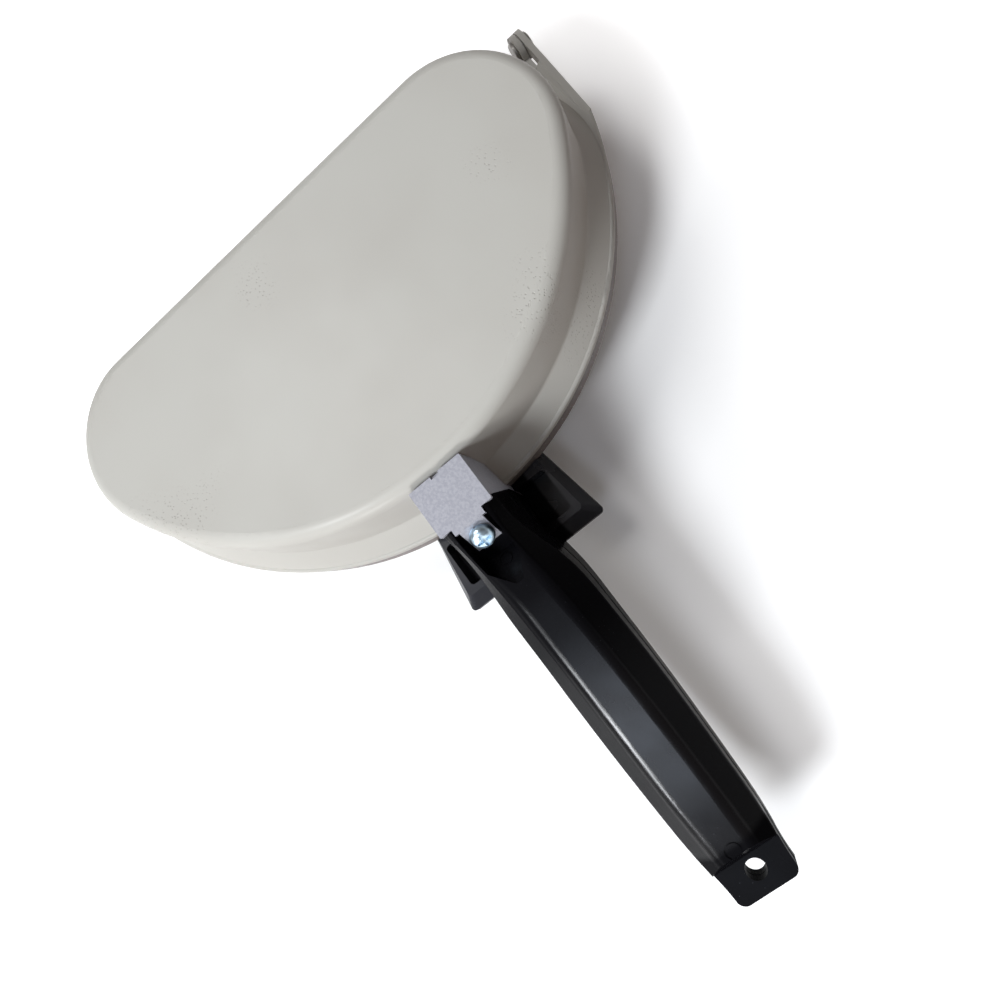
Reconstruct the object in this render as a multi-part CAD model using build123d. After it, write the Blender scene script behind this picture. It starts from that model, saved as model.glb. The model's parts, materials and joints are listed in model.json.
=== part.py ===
"""Double sided flip pan: two D-shaped cast shells hinged along their straight sides,
each with a sheet metal bracket and a moulded handle.

Each half is modelled in its own half frame: X runs along the handle from the centre of
the rim circle, Y runs along the hinge, and Z rises from the parting plane between the
shells. The lower half is the mirror image of the upper one, apart from its deeper rim, its
hinge lugs and the guard at the root of its handle. placed_upper and placed_lower then set both
halves on the pan's base, with the origin at the middle of that base. Millimetres.
"""
import math
import os

from build123d import *

# Shells
flange_radius = 115.0
rim_gap = 0.2
upper_rim_height = 3.0
lower_rim_height = 8.5
shoulder_width = 7.5
foot_z = 11.0
corner_radius = 33.5
wall_draft_width = 1.5
shell_height = 36.5
wall_thickness = 3.0
base_thickness = 3.2
base_edge_rounding = 5.0
cavity_floor_rounding = 4.0
wall_foot_rounding = 2.0
rim_edge_rounding = 1.2
hinge_side_lip = 2.5

# Hinge
hinge_offset = 3.0
eye_radius = 5.0
lug_thickness = 2.1
lug_inset = 5.2
hinge_washer_thickness = 0.3
hinge_side_clearance = 0.1
hinge_pin_diameter = 4.0
hinge_running_clearance = 0.05
hinge_pin_head_diameter = 7.0
hinge_pin_head_height = 1.2
hinge_pin_head_rounding = 0.8
hinge_washer_diameter = 9.0
rim_start_x = 9.0
rib_thickness = 4.2
rib_chamfer = 1.8

# Brackets: places along X are measured from the foot of the shell's wall
bracket_below_base = 0.3
bracket_plate_thickness = 1.8
bracket_plate_overlap = 1.1
bracket_plate_length = 16.6
bracket_half_width = 9.8
bracket_cheek_thickness = 1.8
bracket_web_thickness = 1.8
bracket_shell_clearance = 0.1
cheek_front_lean = 5.3
cheek_foot_reach = 8.7
lip_half_width = 5.7
lip_length = 2.2
tab_half_width = 4.4
tab_length = 10.0
tab_angle = 50.0
bracket_corner_rounding = 0.4
bracket_notch_half_width = 1.5
bracket_notch_depth = 1.0
rivet_diameter = 3.2
rivet_spacing = 9.0
rivet_height = 22.0
rivet_head_diameter = 6.4
rivet_head_height = 1.3
rivet_head_rounding = 1.0
rivet_clearance = 0.05

# Handle screw, spring washer and threaded insert
screw_diameter = 4.0
screw_hole_clearance = 0.2
screw_length = 11.0
screw_head_diameter = 8.0
screw_head_height = 2.5
screw_head_rounding = 2.3
screw_slot_width = 1.0
screw_slot_length = 4.8
screw_slot_depth = 0.9
screw_seat_distance = 5.4
screw_washer_diameter = 7.6
screw_washer_thickness = 0.8
screw_washer_split = 0.5
insert_diameter = 6.4
insert_length = 8.0
insert_depth = 0.6
insert_clearance = 0.03
thread_clearance = 0.05

# Handles: places along X are measured from the foot of the shell's wall
handle_gap = 0.25
handle_length = 153.0
handle_end_corner_radius = 3.0
handle_fit_clearance = 0.15
ear_drop = 0.4
tongue_reach = 4.9
tongue_root_reach = 19.3
tongue_height = 20.3
recess_half_width = 6.2
recess_floor_reach = 27.4
recess_floor_drop = 13.8
recess_wide_end_reach = 31.5
recess_point_reach = 40.5
recess_point_drop = 7.7
hang_hole_diameter = 6.6
hang_hole_inset = 7.3
end_tab_thickness = 4.0
end_tab_length = 11.9
end_tab_slope_length = 5.0
end_cut_height = 15.0
mark_depth = 0.3
mark_line_width = 0.5
recess_mark_diameter = 4.6
end_mark_diameter = 5.4
end_mark_inset = 18.0
neck_ridge_rounding = 2.6
grip_ridge_rounding = 4.6
section_side_rounding = 2.2
section_base_rounding = 0.8
grip_start_reach = 42.5
# Stations of the neck: reach, half width, drop of the sides below the ears' top,
# half width of the top panel, drop of the top panel below the ears' top
neck_stations = [
    (8.3, 9.6, 4.8, 7.0, 0.0),
    (20.0, 9.8, 7.3, 7.0, 0.0),
    (31.5, 11.4, 16.3, 6.6, 4.8),
]
# Stations of the grip: share of the way from the grip's start to its end, half width,
# height of the sides, half width of the top panel, height of the top panel
grip_stations = [
    (0.0, 13.5, 13.0, 6.6, 26.0),
    (0.137, 14.2, 9.6, 6.8, 22.0),
    (0.32, 14.4, 7.8, 6.9, 19.0),
    (0.502, 14.1, 7.0, 6.9, 17.2),
    (0.685, 13.4, 6.4, 6.7, 15.6),
    (0.84, 12.3, 5.8, 6.1, 13.8),
    (1.0, 10.7, 5.0, 5.0, 11.6),
]

# Guard at the root of the lower handle: heights are measured from the parting plane
guard_rim_z = 5.0
guard_skirt_z = 13.0
guard_base_z = 16.0
guard_overlap = 1.5
guard_rim_reach = 28.5
guard_rim_half_width_back = 21.5
guard_rim_half_width_front = 25.2
guard_base_reach = 32.8
guard_base_half_width_back = 24.0
guard_base_half_width_front = 29.6
guard_shell_clearance = 0.3
guard_corner_rounding = 1.8
pocket_start_reach = 9.5
pocket_end_reach = 26.1
pocket_inner_y = 9.0
pocket_outer_y = 22.0
pocket_floor_thickness = 2.6
pocket_corner_rounding = 1.5

# Derived sizes
foot_radius = flange_radius - shoulder_width
shoulder_foot_offset = shoulder_width - rim_edge_rounding
hinge_x = -hinge_offset
lug_gap = hinge_washer_thickness + 2 * hinge_side_clearance
outer_lug_outer_y = flange_radius - lug_inset
outer_lug_inner_y = outer_lug_outer_y - lug_thickness
inner_lug_outer_y = outer_lug_inner_y - lug_gap
inner_lug_inner_y = inner_lug_outer_y - lug_thickness
bracket_back_x = foot_radius - bracket_plate_overlap
bracket_front_x = bracket_back_x + bracket_plate_length
bracket_top_z = shell_height - bracket_below_base
plate_bottom_z = bracket_top_z - bracket_plate_thickness
cheek_inner_y = bracket_half_width - bracket_cheek_thickness
tongue_half_width = cheek_inner_y - handle_fit_clearance
tongue_top_z = plate_bottom_z - handle_fit_clearance
lip_front_x = bracket_front_x + lip_length
cheek_foot_x = foot_radius + cheek_foot_reach
ear_top_z = bracket_top_z - ear_drop
handle_end_x = foot_radius + handle_length
guard_back_x = foot_radius - guard_overlap
parting_z = shell_height
base_centre_x = foot_radius / 2
far = 400.0
height_tolerance = 0.01


def block(x0, x1, y0, y1, z0, z1):
    """Box between two corners."""
    centre = Pos((x0 + x1) / 2, (y0 + y1) / 2, (z0 + z1) / 2)
    return centre * Box(x1 - x0, y1 - y0, z1 - z0)


def y_rod(x, z, y0, y1, radius):
    """Cylinder along Y from y0 to y1."""
    return Pos(x, (y0 + y1) / 2, z) * Rot(90, 0, 0) * Cylinder(radius, y1 - y0)


def x_rod(x0, x1, y, z, radius):
    """Cylinder along X from x0 to x1."""
    return Pos((x0 + x1) / 2, y, z) * Rot(0, 90, 0) * Cylinder(radius, x1 - x0)


def side_prism(points, half_width):
    """Prism across Y whose outline is given by its x and z points."""
    face = make_face(Polyline([(x, 0, z) for x, z in points], close=True))
    return extrude(face, amount=half_width, dir=(0, 1, 0), both=True)


def plan_prism(points, z0, z1):
    """Upright prism whose outline is given by its x and y points."""
    face = make_face(Polyline([(x, y, z0) for x, y in points], close=True))
    return extrude(face, amount=z1 - z0, dir=(0, 0, 1))


def both_sides(shape):
    """A piece of the +Y side and its mirror image on the -Y side."""
    return shape + mirror(shape, about=Plane.XZ)


def d_outline(offset, z):
    """D-shaped face at height z: the outline of the wall's foot, grown by offset."""
    radius = foot_radius + offset
    corner = corner_radius + offset
    centre_x = corner - offset
    centre_y = math.sqrt((radius - corner) ** 2 - centre_x ** 2)
    join_angle = math.atan2(centre_y, centre_x)
    join_x = radius * math.cos(join_angle)
    join_y = radius * math.sin(join_angle)
    middle_angle = (join_angle + math.pi) / 2
    middle_x = centre_x + corner * math.cos(middle_angle)
    middle_y = centre_y + corner * math.sin(middle_angle)
    front = ThreePointArc((join_x, -join_y, z), (radius, 0, z), (join_x, join_y, z))
    left = ThreePointArc((join_x, join_y, z), (middle_x, middle_y, z), (-offset, centre_y, z))
    straight = Line((-offset, centre_y, z), (-offset, -centre_y, z))
    right = ThreePointArc((-offset, -centre_y, z), (middle_x, -middle_y, z), (join_x, -join_y, z))
    return Face(Wire([front, left, straight, right]))


def d_frustum(offset0, z0, offset1, z1):
    """Solid between two D outlines."""
    return loft([d_outline(offset0, z0), d_outline(offset1, z1)], ruled=True)


def edges_at(shape, z):
    """Edges that lie in the horizontal plane at height z."""
    return shape.edges().filter_by_position(Axis.Z, z - height_tolerance, z + height_tolerance)


def shell_envelope(rim_height, clearance):
    """Outside of a shell without its lugs, grown by a clearance."""
    rim = extrude(d_outline(shoulder_width + clearance, -clearance), rim_height + 2 * clearance)
    shoulder = d_frustum(shoulder_width + clearance, rim_height + clearance, clearance, foot_z + clearance)
    wall = d_frustum(clearance, foot_z, clearance - wall_draft_width, shell_height)
    return rim + shoulder + wall


def make_rim(rim_height):
    """Flat rim plate: a round edge that runs into the hinge corners, cut straight behind."""
    plate = extrude(Pos(0, 0, rim_gap / 2) * Circle(flange_radius), rim_height - rim_gap / 2)
    plate = fillet(edges_at(plate, rim_height), rim_edge_rounding)
    plate = plate & block(rim_start_x, far, -outer_lug_outer_y, outer_lug_outer_y, 0, far)
    corners = extrude(d_outline(shoulder_foot_offset, rim_gap / 2), rim_height - rim_gap / 2)
    return plate + corners


def make_lugs(inner_y):
    """Hinge lugs at both ends of the straight side: an eye on a bar, and a rib on the rim."""
    outer_y = inner_y + lug_thickness
    root_x = math.sqrt(flange_radius ** 2 - outer_lug_outer_y ** 2)
    side = side_prism(
        [
            (hinge_x, rim_gap / 2),
            (root_x, rim_gap / 2),
            (root_x, upper_rim_height),
            (rim_start_x, eye_radius),
            (hinge_x, eye_radius),
        ],
        far,
    )
    bar = side & block(hinge_x, root_x, inner_y, outer_y, 0, far)
    rib_inner_y = outer_lug_outer_y - rib_thickness
    rib = side & block(rim_start_x, root_x, rib_inner_y, outer_lug_outer_y, 0, far)
    rib = chamfer(rib.faces().sort_by(Axis.Z)[-1].edges().sort_by(Axis.Y)[0], rib_chamfer)
    eye = y_rod(hinge_x, 0, inner_y, outer_y, eye_radius)
    return both_sides(bar + rib + eye)


def rivet_positions():
    """Y positions of the two rivets that hold a bracket."""
    return [-rivet_spacing / 2, rivet_spacing / 2]


def inner_wall_x(y, z):
    """X of the cavity's wall at a given Y and height."""
    draft = wall_draft_width * (z - foot_z) / (shell_height - foot_z)
    return math.sqrt((foot_radius - draft - wall_thickness) ** 2 - y ** 2)


def make_shell(rim_height, lug_inner_y):
    """One half of the pan: rim, sloping shoulder, wall and flat base, hollow inside."""
    shoulder = d_frustum(shoulder_foot_offset, rim_height, 0, foot_z)
    wall = d_frustum(0, foot_z, -wall_draft_width, shell_height)
    body = shoulder + wall
    body = fillet(edges_at(body, shell_height), base_edge_rounding)
    body = fillet(edges_at(body, foot_z), wall_foot_rounding)
    body = (body + make_rim(rim_height)) & block(-hinge_side_lip, far, -far, far, 0, far)
    body = body + make_lugs(lug_inner_y)
    mouth_draft = wall_draft_width * foot_z / (shell_height - foot_z)
    cavity = d_frustum(
        mouth_draft - wall_thickness, 0, -wall_draft_width - wall_thickness, shell_height - base_thickness
    )
    cavity = fillet(edges_at(cavity, shell_height - base_thickness), cavity_floor_rounding)
    body = body - cavity
    eye_hole_radius = hinge_pin_diameter / 2 + hinge_running_clearance
    body = body - y_rod(hinge_x, 0, -far, far, eye_hole_radius)
    for y in rivet_positions():
        body = body - x_rod(foot_radius / 2, far, y, rivet_height, rivet_diameter / 2 + rivet_clearance)
    return body


def cheek_front_x(z):
    """X of the bracket cheeks' leaning front edge at height z."""
    return cheek_foot_x + cheek_front_lean * z / plate_bottom_z


def tab_axes():
    """Unit vectors in the XZ plane: down along the tab, and out of its face."""
    angle = math.radians(tab_angle)
    along = Vector(math.cos(angle), 0, -math.sin(angle))
    outward = Vector(math.sin(angle), 0, math.cos(angle))
    return along, outward


def tab_start():
    """Outer end of the lip, where the tab begins to slope down."""
    return Vector(lip_front_x, 0, bracket_top_z)


def screw_seat(height):
    """Plane square to the screw, at a height above the tab's outer face."""
    along, outward = tab_axes()
    return Plane(origin=tab_start() + along * screw_seat_distance + outward * height, z_dir=outward)


def make_bracket(rim_height):
    """Sheet metal bracket: top plate, two cheeks, back web and the sloping screw tab."""
    half_width = bracket_half_width
    plate = block(bracket_back_x, bracket_front_x, -half_width, half_width, plate_bottom_z, bracket_top_z)
    plate = fillet(plate.edges().filter_by(Axis.Z), bracket_corner_rounding)
    notch_end_x = bracket_back_x + bracket_notch_depth
    plate = plate - block(0, notch_end_x, -bracket_notch_half_width, bracket_notch_half_width, 0, far)
    lip = block(bracket_front_x, lip_front_x, -lip_half_width, lip_half_width, plate_bottom_z, bracket_top_z)
    cheek = side_prism(
        [
            (foot_radius / 2, plate_bottom_z),
            (foot_radius / 2, 0),
            (cheek_front_x(0), 0),
            (cheek_front_x(plate_bottom_z), plate_bottom_z),
        ],
        half_width,
    )
    cheeks = cheek & both_sides(block(0, far, cheek_inner_y, half_width, 0, far))
    web_front_x = foot_radius + bracket_web_thickness
    web = block(foot_radius / 2, web_front_x, -cheek_inner_y, cheek_inner_y, foot_z, plate_bottom_z)
    body = (cheeks + web) & block(bracket_back_x, far, -far, far, 0, far)
    body = body - shell_envelope(rim_height, bracket_shell_clearance)
    along, outward = tab_axes()
    start = tab_start()
    corners = [
        start,
        start + along * tab_length,
        start + along * tab_length - outward * bracket_plate_thickness,
        start - outward * bracket_plate_thickness,
    ]
    tab = side_prism([(corner.X, corner.Z) for corner in corners], tab_half_width)
    body = body + plate + lip + tab
    hole_reach = tab_length
    body = body - screw_seat(0) * Cylinder(screw_diameter / 2 + screw_hole_clearance, hole_reach)
    for y in rivet_positions():
        body = body - x_rod(foot_radius / 2, far, y, rivet_height, rivet_diameter / 2 + rivet_clearance)
    return body


def make_rivets():
    """Two rivets through the shell's wall and the bracket's web, with a head at each end."""
    rivets = None
    for y in rivet_positions():
        reach = rivet_head_diameter / 2
        inside_x = inner_wall_x(abs(y) + reach, rivet_height + reach) - rivet_clearance
        outside_x = foot_radius + bracket_web_thickness + rivet_clearance
        shank = x_rod(inside_x, outside_x, y, rivet_height, rivet_diameter / 2)
        inner_head = x_rod(inside_x - rivet_head_height, inside_x, y, rivet_height, reach)
        inner_head_rim = inner_head.edges().filter_by(GeomType.CIRCLE).sort_by(Axis.X)[0]
        inner_head = fillet(inner_head_rim, rivet_head_rounding)
        outer_head = x_rod(outside_x, outside_x + rivet_head_height, y, rivet_height, reach)
        rivet = shank + inner_head + outer_head
        rivets = rivet if rivets is None else rivets + rivet
    return rivets


def handle_section(x, ridge_rounding, half_width, side_height, panel_half_width, top_height):
    """Cross-section of the grip at one station, with rounded edges."""
    plane = Plane(origin=(x, 0, 0), x_dir=(0, 1, 0), z_dir=(1, 0, 0))
    outline = Polygon(
        (-half_width, handle_gap),
        (half_width, handle_gap),
        (half_width, side_height),
        (panel_half_width, top_height),
        (-panel_half_width, top_height),
        (-half_width, side_height),
        align=None,
    )
    ridges = outline.vertices().sort_by(Axis.Y)[-2:]
    outline = fillet(ridges, ridge_rounding)
    sides = [v for v in outline.vertices() if abs(v.Y - side_height) < height_tolerance]
    outline = fillet(sides, section_side_rounding)
    bases = [v for v in outline.vertices() if abs(v.Y - handle_gap) < height_tolerance]
    outline = fillet(bases, section_base_rounding)
    return plane * outline


def bracket_space():
    """Room for the bracket at the neck: behind the leaning cheeks and under the plate."""
    lean = cheek_front_lean / plate_bottom_z
    reach = handle_fit_clearance
    behind = side_prism(
        [
            (0, -far / 2),
            (cheek_foot_x + reach - lean * far / 2, -far / 2),
            (cheek_foot_x + reach + lean * far, far),
            (0, far),
        ],
        far,
    )
    plate_room = block(0, bracket_front_x + reach, -far, far, plate_bottom_z - reach, far)
    return behind + plate_room


def recess_floor():
    """X and z of the lower end of the recess's sloping floor."""
    return foot_radius + recess_floor_reach, bracket_top_z - recess_floor_drop


def recess_point():
    """X and z where the recess ends in a point."""
    return foot_radius + recess_point_reach, bracket_top_z - recess_point_drop


def screw_recess():
    """Recess in the neck under the lip and tab, open upwards, narrowing to a point."""
    along, outward = tab_axes()
    start = tab_start() - outward * (bracket_plate_thickness + handle_fit_clearance)
    foot = start + along * (tab_length + handle_fit_clearance)
    side = side_prism(
        [
            (start.X + along.X * (tongue_top_z - start.Z) / along.Z, tongue_top_z),
            (foot.X, foot.Z),
            recess_floor(),
            recess_point(),
            (recess_point()[0], far),
            (bracket_back_x, far),
            (bracket_back_x, tongue_top_z),
        ],
        far,
    )
    plan = plan_prism(
        [
            (bracket_back_x, -recess_half_width),
            (foot_radius + recess_wide_end_reach, -recess_half_width),
            (recess_point()[0], 0),
            (foot_radius + recess_wide_end_reach, recess_half_width),
            (bracket_back_x, recess_half_width),
        ],
        0,
        far,
    )
    return side & plan


def end_corner_cut():
    """What rounding removes from the +Y corner of the handle's end, seen from above."""
    centre_x = handle_end_x - handle_end_corner_radius
    centre_y = grip_stations[-1][1] - handle_end_corner_radius
    corner = block(centre_x, far, centre_y, far, -far, far)
    return corner - Pos(centre_x, centre_y, 0) * Cylinder(handle_end_corner_radius, 3 * far)


def ring_mark(x, z, slope, diameter):
    """Shallow ring left by the mould, on a surface that rises by slope along X."""
    plane = Plane(origin=(x, 0, z), z_dir=(-slope, 0, 1))
    ring = Cylinder(diameter / 2, 2 * mark_depth) - Cylinder(diameter / 2 - mark_line_width, far)
    return plane * ring


def handle_stations():
    """Sections: x, ridge rounding, half width, side height, half width and height of the top."""
    stations = []
    for reach, half_width, side_drop, panel_half_width, top_drop in neck_stations:
        section = (half_width, ear_top_z - side_drop, panel_half_width, ear_top_z - top_drop)
        stations.append((foot_radius + reach, neck_ridge_rounding, *section))
    start_x = foot_radius + grip_start_reach
    for share, *section in grip_stations:
        x = start_x + share * (handle_end_x - start_x)
        stations.append((x, grip_ridge_rounding, *section))
    return stations


def make_handle():
    """Moulded handle: tapering grip, flat end with the hanging hole, neck, ears and tongue."""
    stations = handle_stations()
    grip = loft([handle_section(*station) for station in stations])
    end_tab_start_x = handle_end_x - end_tab_length
    slope_x = end_tab_start_x - end_tab_slope_length
    end_cut = side_prism(
        [
            (slope_x, far),
            (slope_x, end_cut_height),
            (end_tab_start_x, end_tab_thickness),
            (far, end_tab_thickness),
            (far, far),
        ],
        far,
    )
    grip = grip - end_cut
    grip = grip - bracket_space()
    tongue_back_x = foot_radius + tongue_reach
    tongue_root_x = foot_radius + tongue_root_reach
    tongue_bottom_z = tongue_top_z - tongue_height
    tongue = block(
        tongue_back_x, tongue_root_x, -tongue_half_width, tongue_half_width, tongue_bottom_z, tongue_top_z
    )
    body = grip + tongue - screw_recess()
    body = body - both_sides(end_corner_cut())
    body = body - Pos(handle_end_x - hang_hole_inset, 0, 0) * Cylinder(hang_hole_diameter / 2, far)
    insert_hole = Cylinder(insert_diameter / 2 + insert_clearance, 2 * (insert_depth + insert_length))
    body = body - screw_seat(-bracket_plate_thickness) * insert_hole
    floor_x, floor_z = recess_floor()
    point_x, point_z = recess_point()
    recess_slope = (point_z - floor_z) / (point_x - floor_x)
    recess_mark_reach = recess_mark_diameter / 2 + mark_line_width
    recess_mark_z = floor_z + recess_slope * recess_mark_reach
    body = body - ring_mark(floor_x + recess_mark_reach, recess_mark_z, recess_slope, recess_mark_diameter)
    end_slope = (stations[-1][-1] - stations[-2][-1]) / (stations[-1][0] - stations[-2][0])
    end_mark_z = stations[-1][-1] - end_slope * end_mark_inset
    body = body - ring_mark(handle_end_x - end_mark_inset, end_mark_z, end_slope, end_mark_diameter)
    return body


def make_screw():
    """Domed screw with a cross slot, square to the bracket's tab."""
    seat = screw_seat(screw_washer_thickness)
    head = Pos(0, 0, screw_head_height / 2) * Cylinder(screw_head_diameter / 2, screw_head_height)
    head = fillet(head.edges().filter_by(GeomType.CIRCLE).sort_by(Axis.Z)[-1], screw_head_rounding)
    slot_z = screw_head_height - screw_slot_depth / 2
    slot = Pos(0, 0, slot_z) * Box(screw_slot_length, screw_slot_width, screw_slot_depth)
    head = head - slot - Rot(0, 0, 90) * slot
    shank = Pos(0, 0, -screw_length / 2) * Cylinder(screw_diameter / 2, screw_length)
    return seat * (head + shank)


def make_screw_washer():
    """Split spring washer under the screw's head."""
    ring = Cylinder(screw_washer_diameter / 2, screw_washer_thickness)
    ring = ring - Cylinder(screw_diameter / 2 + screw_hole_clearance, far)
    split = Pos(screw_washer_diameter / 2, 0, 0) * Box(screw_washer_diameter, screw_washer_split, far)
    ring = ring - split
    return screw_seat(screw_washer_thickness / 2) * ring


def make_insert():
    """Brass insert moulded into the handle for the screw."""
    depth = bracket_plate_thickness + insert_depth + insert_length / 2
    sleeve = Cylinder(insert_diameter / 2, insert_length)
    sleeve = sleeve - Cylinder(screw_diameter / 2 + thread_clearance, far)
    return screw_seat(-depth) * sleeve


def make_hinge_pin(side):
    """Hinge rivet through both lugs of one side, with a head at each end."""
    inner_y = inner_lug_inner_y - hinge_side_clearance
    outer_y = outer_lug_outer_y + hinge_side_clearance
    shank = y_rod(hinge_x, 0, inner_y, outer_y, hinge_pin_diameter / 2)
    inner_head = y_rod(hinge_x, 0, inner_y - hinge_pin_head_height, inner_y, hinge_pin_head_diameter / 2)
    outer_head = y_rod(hinge_x, 0, outer_y, outer_y + hinge_pin_head_height, hinge_pin_head_diameter / 2)
    inner_rim = inner_head.edges().filter_by(GeomType.CIRCLE).sort_by(Axis.Y)[0]
    outer_rim = outer_head.edges().filter_by(GeomType.CIRCLE).sort_by(Axis.Y)[-1]
    inner_head = fillet(inner_rim, hinge_pin_head_rounding)
    outer_head = fillet(outer_rim, hinge_pin_head_rounding)
    pin = shank + inner_head + outer_head
    return pin if side > 0 else mirror(pin, about=Plane.XZ)


def make_hinge_washer(side):
    """Washer that keeps the two lugs of one side apart."""
    y = inner_lug_outer_y + hinge_side_clearance
    ring = y_rod(hinge_x, 0, y, y + hinge_washer_thickness, hinge_washer_diameter / 2)
    ring = ring - y_rod(hinge_x, 0, 0, far, hinge_pin_diameter / 2 + hinge_running_clearance)
    return ring if side > 0 else mirror(ring, about=Plane.XZ)


def trapezoid(reach, back_half_width, front_half_width, z):
    """Outline of the guard at height z: symmetric, four-sided and wider at the front."""
    front_x = foot_radius + reach
    points = [
        (guard_back_x, -back_half_width, z),
        (front_x, -front_half_width, z),
        (front_x, front_half_width, z),
        (guard_back_x, back_half_width, z),
    ]
    return make_face(Polyline(points, close=True))


def is_front_corner(edge):
    """True for the two sloping edges between the guard's front and its sides."""
    box = edge.bounding_box()
    return box.min.X > foot_radius + pocket_end_reach and box.size.Z > height_tolerance


def make_guard():
    """Wide hand guard: a flared block with a pocket each side of the neck."""
    rim = trapezoid(guard_rim_reach, guard_rim_half_width_back, guard_rim_half_width_front, guard_rim_z)
    skirt = trapezoid(
        guard_base_reach, guard_base_half_width_back, guard_base_half_width_front, guard_skirt_z
    )
    skirts = loft([rim, skirt], ruled=True)
    skirts = fillet(skirts.edges().filter_by(is_front_corner), guard_corner_rounding)
    base = extrude(skirt, guard_base_z - guard_skirt_z)
    base = fillet(base.edges().filter_by(Axis.Z).sort_by(Axis.X)[-2:], guard_corner_rounding)
    body = skirts + base
    pocket_start_x = foot_radius + pocket_start_reach
    pocket_end_x = foot_radius + pocket_end_reach
    pocket_top = guard_base_z - pocket_floor_thickness
    pocket = block(pocket_start_x, pocket_end_x, pocket_inner_y, pocket_outer_y, 0, pocket_top)
    pocket = fillet(pocket.edges().filter_by(Axis.Z), pocket_corner_rounding)
    body = body - both_sides(pocket)
    body = body - shell_envelope(lower_rim_height, guard_shell_clearance)
    slot_half_width = bracket_half_width + handle_fit_clearance
    neck_slot = block(0, far, -slot_half_width, slot_half_width, 0, far) & bracket_space()
    return body - neck_slot


def placed_upper(shape):
    """Upper half's piece in the pan's frame."""
    return Pos(-base_centre_x, 0, parting_z) * shape


def placed_lower(shape):
    """Lower half's piece in the pan's frame: the mirror image below the parting plane."""
    return Pos(-base_centre_x, 0, parting_z) * mirror(shape, about=Plane.XY)


def save(name, shape):
    """Write one node."""
    export_step(shape, f"parts/{name}.step")


os.makedirs("parts", exist_ok=True)
save("upper_shell", placed_upper(make_shell(upper_rim_height, outer_lug_inner_y)))
save("lower_shell", placed_lower(make_shell(lower_rim_height, inner_lug_inner_y)))
save("upper_handle", placed_upper(make_handle()))
save("lower_handle", placed_lower(make_handle() + make_guard()))
halves = (("upper", placed_upper, upper_rim_height), ("lower", placed_lower, lower_rim_height))
for half, placed, rim_height in halves:
    save(f"{half}_bracket", placed(make_bracket(rim_height)))
    save(f"{half}_bracket_rivets", placed(make_rivets()))
    save(f"{half}_handle_screw", placed(make_screw()))
    save(f"{half}_spring_washer", placed(make_screw_washer()))
    save(f"{half}_threaded_insert", placed(make_insert()))
for side_name, side in (("left", 1), ("right", -1)):
    save(f"{side_name}_hinge_pin", placed_upper(make_hinge_pin(side)))
    save(f"{side_name}_hinge_washer", placed_upper(make_hinge_washer(side)))
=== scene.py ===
"""Looks of the double sided flip pan: finishes, studio floor, lights and camera. Metres."""
import json

import bpy
from mathutils import Matrix, Vector


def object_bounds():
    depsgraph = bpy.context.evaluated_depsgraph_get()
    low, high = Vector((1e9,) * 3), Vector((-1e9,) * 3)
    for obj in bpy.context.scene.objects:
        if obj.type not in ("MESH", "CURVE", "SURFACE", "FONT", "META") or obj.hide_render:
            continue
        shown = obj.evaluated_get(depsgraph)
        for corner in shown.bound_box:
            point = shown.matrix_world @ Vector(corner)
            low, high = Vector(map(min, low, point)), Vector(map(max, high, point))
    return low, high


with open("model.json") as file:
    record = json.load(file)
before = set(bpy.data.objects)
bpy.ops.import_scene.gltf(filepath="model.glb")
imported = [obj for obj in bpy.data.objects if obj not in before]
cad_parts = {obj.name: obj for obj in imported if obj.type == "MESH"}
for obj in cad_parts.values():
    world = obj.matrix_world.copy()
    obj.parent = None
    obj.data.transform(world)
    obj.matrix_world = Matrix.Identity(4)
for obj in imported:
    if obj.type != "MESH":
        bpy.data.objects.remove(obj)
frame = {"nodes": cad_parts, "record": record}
cad_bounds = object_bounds()

# Camera: place, directions and focal length that fit the photograph
camera_place = Vector((0.1154, 0.0473, 0.2736))
camera_right = Vector((0.5895, 0.7628, -0.2658))
camera_up = Vector((-0.7798, 0.6232, 0.0590))
camera_lens_mm = 26.25
camera_sensor_mm = 36.0
camera_clip_start = 0.01

# Light colours
white = (1.0, 1.0, 1.0)
cool_light = (0.76, 0.85, 1.0)
window_light = (0.93, 0.965, 1.0)

# Softboxes: place, target, edge length, power in watts and colour
pan_middle = (0.03, 0.0, 0.04)
handle_root = (0.10, 0.0, 0.05)
softboxes = {
    "key_softbox": ((-0.55, -0.32, 1.25), pan_middle, 0.45, 6.6, white),
    "panel_softbox": ((0.60, -0.30, 1.5), pan_middle, 0.4, 2.0, cool_light),
    "window_softbox": ((0.45, -0.72, 0.97), handle_root, 0.32, 12.4, window_light),
    "low_softbox": ((0.94, -0.60, 0.34), pan_middle, 0.2, 5.6, white),
}

# Floor: its colour for light that bounces off it, and the glow that is added where it is
# seen directly, by distance from the object's middle
floor_size = 6.0
floor_bounce_colour = (0.24, 0.17, 0.135)
floor_roughness = 1.0
floor_specular = 0.0
object_middle = (0.06, 0.0, 0.0)
glow_near = 0.04
glow_around = 0.48
glow_far_extra = 0.52
near_zone = (0.14, 0.20)
far_zone = (0.40, 1.20)

# World: dim room, and the heights of the view direction between which its white fades out
room_strength = 0.14
room_colour = (1.0, 0.86, 0.78)
horizon_zone = (0.15, 0.35)

# Colours of the finishes, linear
enamel_light = (0.485, 0.480, 0.448)
enamel_warm = (0.462, 0.452, 0.420)
enamel_stain = (0.330, 0.310, 0.280)
# Painted shade on the lower shell's rim, and the lighter chips in it
rim_painted_shade = (0.170, 0.145, 0.135)
rim_chip = (0.450, 0.440, 0.430)
bracket_colour = (0.300, 0.305, 0.345)
bracket_light = (0.350, 0.355, 0.395)
plastic_black = (0.004, 0.004, 0.005)
# Colour of the dust on the handle, also painted on the guard as painted sheen
plastic_dust_and_sheen = (0.050, 0.052, 0.062)

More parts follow.
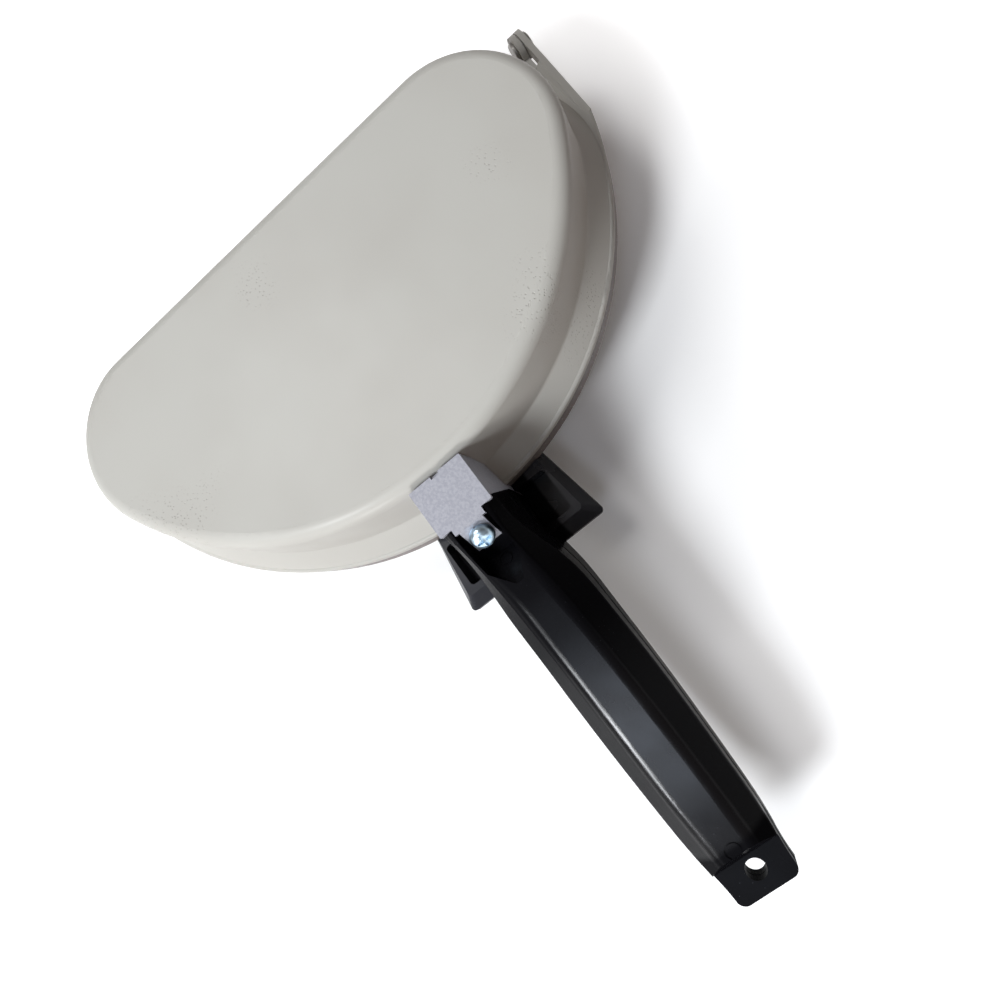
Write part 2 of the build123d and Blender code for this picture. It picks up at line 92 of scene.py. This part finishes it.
# Small metals: colour and lowest roughness
small_metals = {
    "screw_steel": ((0.620, 0.800, 0.940), 0.30),
    "rivet_metal": ((0.520, 0.520, 0.530), 0.30),
    "hinge_steel": ((0.380, 0.365, 0.345), 0.35),
    "insert_brass": ((0.500, 0.320, 0.090), 0.25),
}
metal_dark_share = 0.7
metal_roughness_spread = 0.15

# Noise patterns: scale per metre and detail
blotch_noise = (14.0, 3.0)
patch_noise = (22.0, 2.0)
enamel_sheen_noise = (60.0, 3.0)
enamel_wave_noise = (30.0, 1.0)
enamel_grain_noise = (700.0, 2.0)
bracket_tone_noise = (1300.0, 3.0)
bracket_sheen_noise = (1500.0, 3.0)
bracket_grain_noise = (1600.0, 3.0)
dusty_noise = (40.0, 3.0)
plastic_sheen_noise = (90.0, 4.0)
plastic_wave_noise = (45.0, 1.0)
scratch_noise = (500.0, 2.0)
metal_tone_noise = (500.0, 3.0)
metal_sheen_noise = (800.0, 2.0)
metal_grain_noise = (1400.0, 2.0)

# Cell patterns: scale per metre
pit_cells = 900.0
chip_cells = 500.0
dust_cells = 650.0

# Pattern values between which a mask goes from one end to the other
tone_limits = (0.35, 0.65)
even_limits = (0.3, 0.7)
patch_limits = (0.56, 0.70)
pit_limits = (0.16, 0.30)
chip_limits = (0.10, 0.22)
dust_limits = (0.05, 0.09)
dusty_limits = (0.5, 0.7)

# Share of the second colour where a mask is full
stain_share = 0.4
chip_share = 0.7

# Bumps: distance and strength
enamel_wave_bump = (0.0006, 0.08)
enamel_grain_bump = (0.00005, 0.25)
pit_bump = (0.00012, 0.8)
bracket_grain_bump = (0.00006, 0.5)
plastic_wave_bump = (0.0008, 0.2)
scratch_bump = (0.00003, 0.35)
metal_grain_bump = (0.00005, 0.3)

# Patterns on the handle are drawn out along its length
wave_stretch = (0.35, 1.0, 1.0)
scratch_stretch = (0.08, 1.0, 1.0)

# Roughness and gloss
enamel_roughness = (0.40, 0.48)
enamel_specular = 0.15
enamel_coat = 0.05
enamel_coat_roughness = 0.15
bracket_roughness = (0.52, 0.60)
bracket_metallic = 0.6
plastic_roughness = (0.22, 0.28)

# Handle: full gloss on faces that lie flat and little on its sides; the end tab and the neck
# keep a share of it, by distance along X
plastic_gloss = 0.38
side_gloss = 0.025
flat_limits = (0.60, 0.92)
tab_share = 0.12
tab_zone = (0.186, 0.189)
neck_share = 0.15
neck_zone = (0.108, 0.146)

# Guard of the lower handle: its distance from the middle plane, and its painted sheen, a share of
# the lighter dust colour that stands in for the light it catches
guard_zone = (0.0150, 0.0165)
guard_painted_sheen = 0.5

# Painted shade: a dark band on the round rim of the lower shell, with lighter chips in it
rim_centre_x = -0.05375
rim_shade_bottom = (0.0272, 0.0284)
rim_shade_top = (0.0362, 0.0366)
rim_shade_reach = (0.03, 0.05)


class Graph:
    """Small helper that builds one node material."""

    def __init__(self, name):
        self.material = bpy.data.materials.new(name)
        self.clear_tree(self.material)
        self.output = self.add("ShaderNodeOutputMaterial")
        self.shader = self.add("ShaderNodeBsdfPrincipled")
        self.link(self.shader.outputs["BSDF"], self.output.inputs["Surface"])
        coordinates = self.add("ShaderNodeTexCoord")
        self.place = coordinates.outputs["Object"]
        self.facing = coordinates.outputs["Normal"]

    def clear_tree(self, owner):
        owner.use_nodes = True
        self.tree = owner.node_tree
        self.tree.nodes.clear()

    def add(self, kind):
        return self.tree.nodes.new(kind)

    def link(self, source, target):
        self.tree.links.new(source, target)

    def link_shader(self, source, name):
        self.link(source, self.shader.inputs[name])

    def set(self, **values):
        """Numbers and colours that are the same all over the surface."""
        for name, value in values.items():
            socket_name = name.replace("_", " ").title().replace("Ior", "IOR")
            self.shader.inputs[socket_name].default_value = value

    def scaled_place(self, stretch):
        """Object coordinates stretched along their axes."""
        mapping = self.add("ShaderNodeMapping")
        mapping.inputs["Scale"].default_value = stretch
        self.link(self.place, mapping.inputs["Vector"])
        return mapping.outputs["Vector"]

    def axis(self, vector, name):
        node = self.add("ShaderNodeSeparateXYZ")
        self.link(vector, node.inputs["Vector"])
        return node.outputs[name]

    def noise(self, scale, detail, place=None):
        node = self.add("ShaderNodeTexNoise")
        node.inputs["Scale"].default_value = scale
        node.inputs["Detail"].default_value = detail
        self.link(place or self.place, node.inputs["Vector"])
        return node.outputs["Fac"]

    def cells(self, scale):
        """Distance to the nearest point of a random pattern."""
        node = self.add("ShaderNodeTexVoronoi")
        node.inputs["Scale"].default_value = scale
        self.link(self.place, node.inputs["Vector"])
        return node.outputs["Distance"]

    def remap(self, value, low, high, to_low=0.0, to_high=1.0):
        """Smooth step from one end value to the other."""
        node = self.add("ShaderNodeMapRange")
        node.interpolation_type = "SMOOTHSTEP"
        node.inputs["From Min"].default_value = low
        node.inputs["From Max"].default_value = high
        node.inputs["To Min"].default_value = to_low
        node.inputs["To Max"].default_value = to_high
        self.link(value, node.inputs["Value"])
        return node.outputs["Result"]

    def fade(self, value, low, high, start=1.0):
        """Smooth step down to 0."""
        return self.remap(value, low, high, start, 0.0)

    def maths(self, operation, *values):
        node = self.add("ShaderNodeMath")
        node.operation = operation
        for socket, value in zip(node.inputs, values):
            if isinstance(value, (int, float)):
                socket.default_value = value
            else:
                self.link(value, socket)
        return node.outputs["Value"]

    def product(self, first, second):
        return self.maths("MULTIPLY", first, second)

    def mix_colours(self, factor, first, second):
        node = self.add("ShaderNodeMix")
        node.data_type = "RGBA"
        self.link(factor, node.inputs["Factor"])
        for socket, colour in ((node.inputs["A"], first), (node.inputs["B"], second)):
            if isinstance(colour, tuple):
                socket.default_value = (*colour, 1.0)
            else:
                self.link(colour, socket)
        return node.outputs["Result"]

    def bump(self, height, distance, strength, normal=None):
        node = self.add("ShaderNodeBump")
        node.inputs["Distance"].default_value = distance
        node.inputs["Strength"].default_value = strength
        self.link(height, node.inputs["Height"])
        if normal is not None:
            self.link(normal, node.inputs["Normal"])
        return node.outputs["Normal"]

    def vary_roughness(self, pattern, roughness):
        """Roughness that wanders between two values."""
        self.link_shader(self.remap(self.noise(*pattern), *even_limits, *roughness), "Roughness")

    def seen_directly(self):
        """Light path mask: 1 for what the camera, gloss or glass sees directly."""
        path = self.add("ShaderNodeLightPath")
        seen = self.maths("MAXIMUM", path.outputs["Is Camera Ray"], path.outputs["Is Glossy Ray"])
        return self.maths("MAXIMUM", seen, path.outputs["Is Transmission Ray"])


class WorldGraph(Graph):
    """The same helper for the world, with the view direction as its place."""

    def __init__(self, name):
        world = bpy.data.worlds.new(name)
        bpy.context.scene.world = world
        self.clear_tree(world)
        self.output = self.add("ShaderNodeOutputWorld")
        self.shader = self.add("ShaderNodeBackground")
        self.link(self.shader.outputs["Background"], self.output.inputs["Surface"])
        self.place = self.add("ShaderNodeTexCoord").outputs["Generated"]


def rim_painted_shade_mask(g):
    """1 on the outward faces of the lower shell's round rim, where shade is painted."""
    from_centre = g.maths("SUBTRACT", g.axis(g.place, "X"), rim_centre_x)
    reach_x = g.product(from_centre, g.axis(g.facing, "X"))
    reach_y = g.product(g.axis(g.place, "Y"), g.axis(g.facing, "Y"))
    outward = g.remap(g.maths("ADD", reach_x, reach_y), *rim_shade_reach)
    height = g.axis(g.place, "Z")
    band = g.product(g.remap(height, *rim_shade_bottom), g.fade(height, *rim_shade_top))
    return g.product(band, outward)


def enamel_material():
    """Baked light grey enamel: faint blotches, pitted patches, and painted shade with lighter
    chips on the lower shell's rim.
    """
    g = Graph("shell_enamel")
    blotch = g.remap(g.noise(*blotch_noise), *tone_limits)
    base = g.mix_colours(blotch, enamel_light, enamel_warm)
    patch = g.remap(g.noise(*patch_noise), *patch_limits)
    speck = g.product(patch, g.fade(g.cells(pit_cells), *pit_limits))
    tinted = g.mix_colours(g.product(speck, stain_share), base, enamel_stain)
    # The rim of the lower shell is painted dark as painted shade, with lighter chips
    chips = g.fade(g.cells(chip_cells), *chip_limits, chip_share)
    painted_shade_rim = g.mix_colours(chips, rim_painted_shade, rim_chip)
    g.link_shader(g.mix_colours(rim_painted_shade_mask(g), tinted, painted_shade_rim), "Base Color")
    g.vary_roughness(enamel_sheen_noise, enamel_roughness)
    waves = g.bump(g.noise(*enamel_wave_noise), *enamel_wave_bump)
    grain = g.bump(g.noise(*enamel_grain_noise), *enamel_grain_bump, waves)
    g.link_shader(g.bump(g.product(speck, -1.0), *pit_bump, grain), "Normal")
    g.set(
        Specular_IOR_Level=enamel_specular,
        Coat_Weight=enamel_coat,
        Coat_Roughness=enamel_coat_roughness,
    )
    return g.material


def bracket_material():
    """Satin pressed sheet: pale metal with a fine grain."""
    g = Graph("bracket_metal")
    tone = g.remap(g.noise(*bracket_tone_noise), *tone_limits)
    g.link_shader(g.mix_colours(tone, bracket_colour, bracket_light), "Base Color")
    g.vary_roughness(bracket_sheen_noise, bracket_roughness)
    g.link_shader(g.bump(g.noise(*bracket_grain_noise), *bracket_grain_bump), "Normal")
    g.set(Metallic=bracket_metallic)
    return g.material


def plastic_material():
    """Polished black plastic: slow waves, fine scratches, dust, painted sheen on the guard, and
    dull sides, neck and end.
    """
    g = Graph("handle_plastic")
    dusty = g.remap(g.noise(*dusty_noise), *dusty_limits)
    dust = g.product(g.fade(g.cells(dust_cells), *dust_limits), dusty)
    guard = g.remap(g.maths("ABSOLUTE", g.axis(g.place, "Y")), *guard_zone)
    # Dust, and the guard painted lighter as painted sheen
    dust_and_sheen = g.maths("MAXIMUM", dust, g.product(guard, guard_painted_sheen))
    g.link_shader(g.mix_colours(dust_and_sheen, plastic_black, plastic_dust_and_sheen), "Base Color")
    g.vary_roughness(plastic_sheen_noise, plastic_roughness)
    wave_height = g.noise(*plastic_wave_noise, g.scaled_place(wave_stretch))
    waves = g.bump(wave_height, *plastic_wave_bump)
    scratches = g.noise(*scratch_noise, g.scaled_place(scratch_stretch))
    g.link_shader(g.bump(scratches, *scratch_bump, waves), "Normal")
    flat = g.maths("ABSOLUTE", g.axis(g.facing, "Z"))
    gloss = g.remap(flat, *flat_limits, side_gloss, plastic_gloss)
    worn_end = g.remap(g.axis(g.place, "X"), *tab_zone, 1.0, tab_share)
    worn_neck = g.remap(g.axis(g.place, "X"), *neck_zone, neck_share, 1.0)
    worn = g.product(worn_end, g.maths("MAXIMUM", worn_neck, guard))
    g.link_shader(g.product(gloss, worn), "Specular IOR Level")
    return g.material


def metal_material(name, colour, roughness):
    """Small metal parts: plating or turned metal with a fine grain."""
    g = Graph(name)
    tone = g.remap(g.noise(*metal_tone_noise), *even_limits)
    darker = tuple(metal_dark_share * channel for channel in colour)
    g.link_shader(g.mix_colours(tone, darker, colour), "Base Color")
    g.vary_roughness(metal_sheen_noise, (roughness, roughness + metal_roughness_spread))
    g.link_shader(g.bump(g.noise(*metal_grain_noise), *metal_grain_bump), "Normal")
    g.set(Metallic=1.0)
    return g.material


def dress_nodes():
    """Each CAD node takes the finish of its material slot."""
    finishes = {
        "shell_enamel": enamel_material(),
        "bracket_metal": bracket_material(),
        "handle_plastic": plastic_material(),
    }
    for name, (colour, roughness) in small_metals.items():
        finishes[name] = metal_material(name, colour, roughness)
    for part in frame["record"]["subparts"]:
        node = frame["nodes"][part["node"]]
        node.data.materials.clear()
        node.data.materials.append(finishes[part["material_slot"]])


def make_floor():
    """Floor that shows white, keeps the object's shadow and throws little light back."""
    low, _ = cad_bounds
    bpy.ops.mesh.primitive_plane_add(size=floor_size, location=(0.0, 0.0, low[2]))
    floor = bpy.context.object
    floor.name = "studio_floor"
    g = Graph("studio_floor")
    mask = g.seen_directly()
    g.link_shader(g.mix_colours(mask, floor_bounce_colour, white), "Base Color")
    g.set(
        Roughness=floor_roughness,
        Specular_IOR_Level=floor_specular,
        Emission_Color=(*white, 1.0),
    )
    apart = g.add("ShaderNodeVectorMath")
    apart.operation = "DISTANCE"
    apart.inputs[1].default_value = object_middle
    g.link(g.place, apart.inputs[0])
    distance = apart.outputs["Value"]
    around = g.remap(distance, *near_zone, glow_near, glow_around)
    glow = g.maths("ADD", around, g.remap(distance, *far_zone, 0.0, glow_far_extra))
    g.link_shader(g.product(mask, glow), "Emission Strength")
    floor.data.materials.append(g.material)


def make_world():
    """Dim warm room that shows white near the horizon where it is seen directly."""
    g = WorldGraph("studio_world")
    low = g.fade(g.axis(g.place, "Z"), *horizon_zone)
    shown = g.product(g.seen_directly(), low)
    room = tuple(room_strength * channel for channel in room_colour)
    g.link_shader(g.mix_colours(shown, room, white), "Color")


def make_softbox(name, place, target, edge, power, colour):
    """Square area light that faces a target."""
    data = bpy.data.lights.new(name, "AREA")
    data.shape = "RECTANGLE"
    data.size = edge
    data.size_y = edge
    data.energy = power
    data.color = colour
    light = bpy.data.objects.new(name, data)
    bpy.context.scene.collection.objects.link(light)
    light.location = place
    towards = Vector(target) - Vector(place)
    light.rotation_euler = towards.to_track_quat("-Z", "Y").to_euler()


def make_camera():
    data = bpy.data.cameras.new("photo_camera")
    data.sensor_width = camera_sensor_mm
    data.lens = camera_lens_mm
    data.clip_start = camera_clip_start
    camera = bpy.data.objects.new("photo_camera", data)
    bpy.context.scene.collection.objects.link(camera)
    back = camera_right.cross(camera_up).normalized()
    up = back.cross(camera_right).normalized()
    axes = Matrix((camera_right.normalized(), up, back)).transposed().to_4x4()
    camera.matrix_world = Matrix.Translation(camera_place) @ axes
    bpy.context.scene.camera = camera


make_camera()
dress_nodes()
make_world()
for name, settings in softboxes.items():
    make_softbox(name, *settings)
make_floor()
bpy.context.scene.view_settings.view_transform = "Standard"
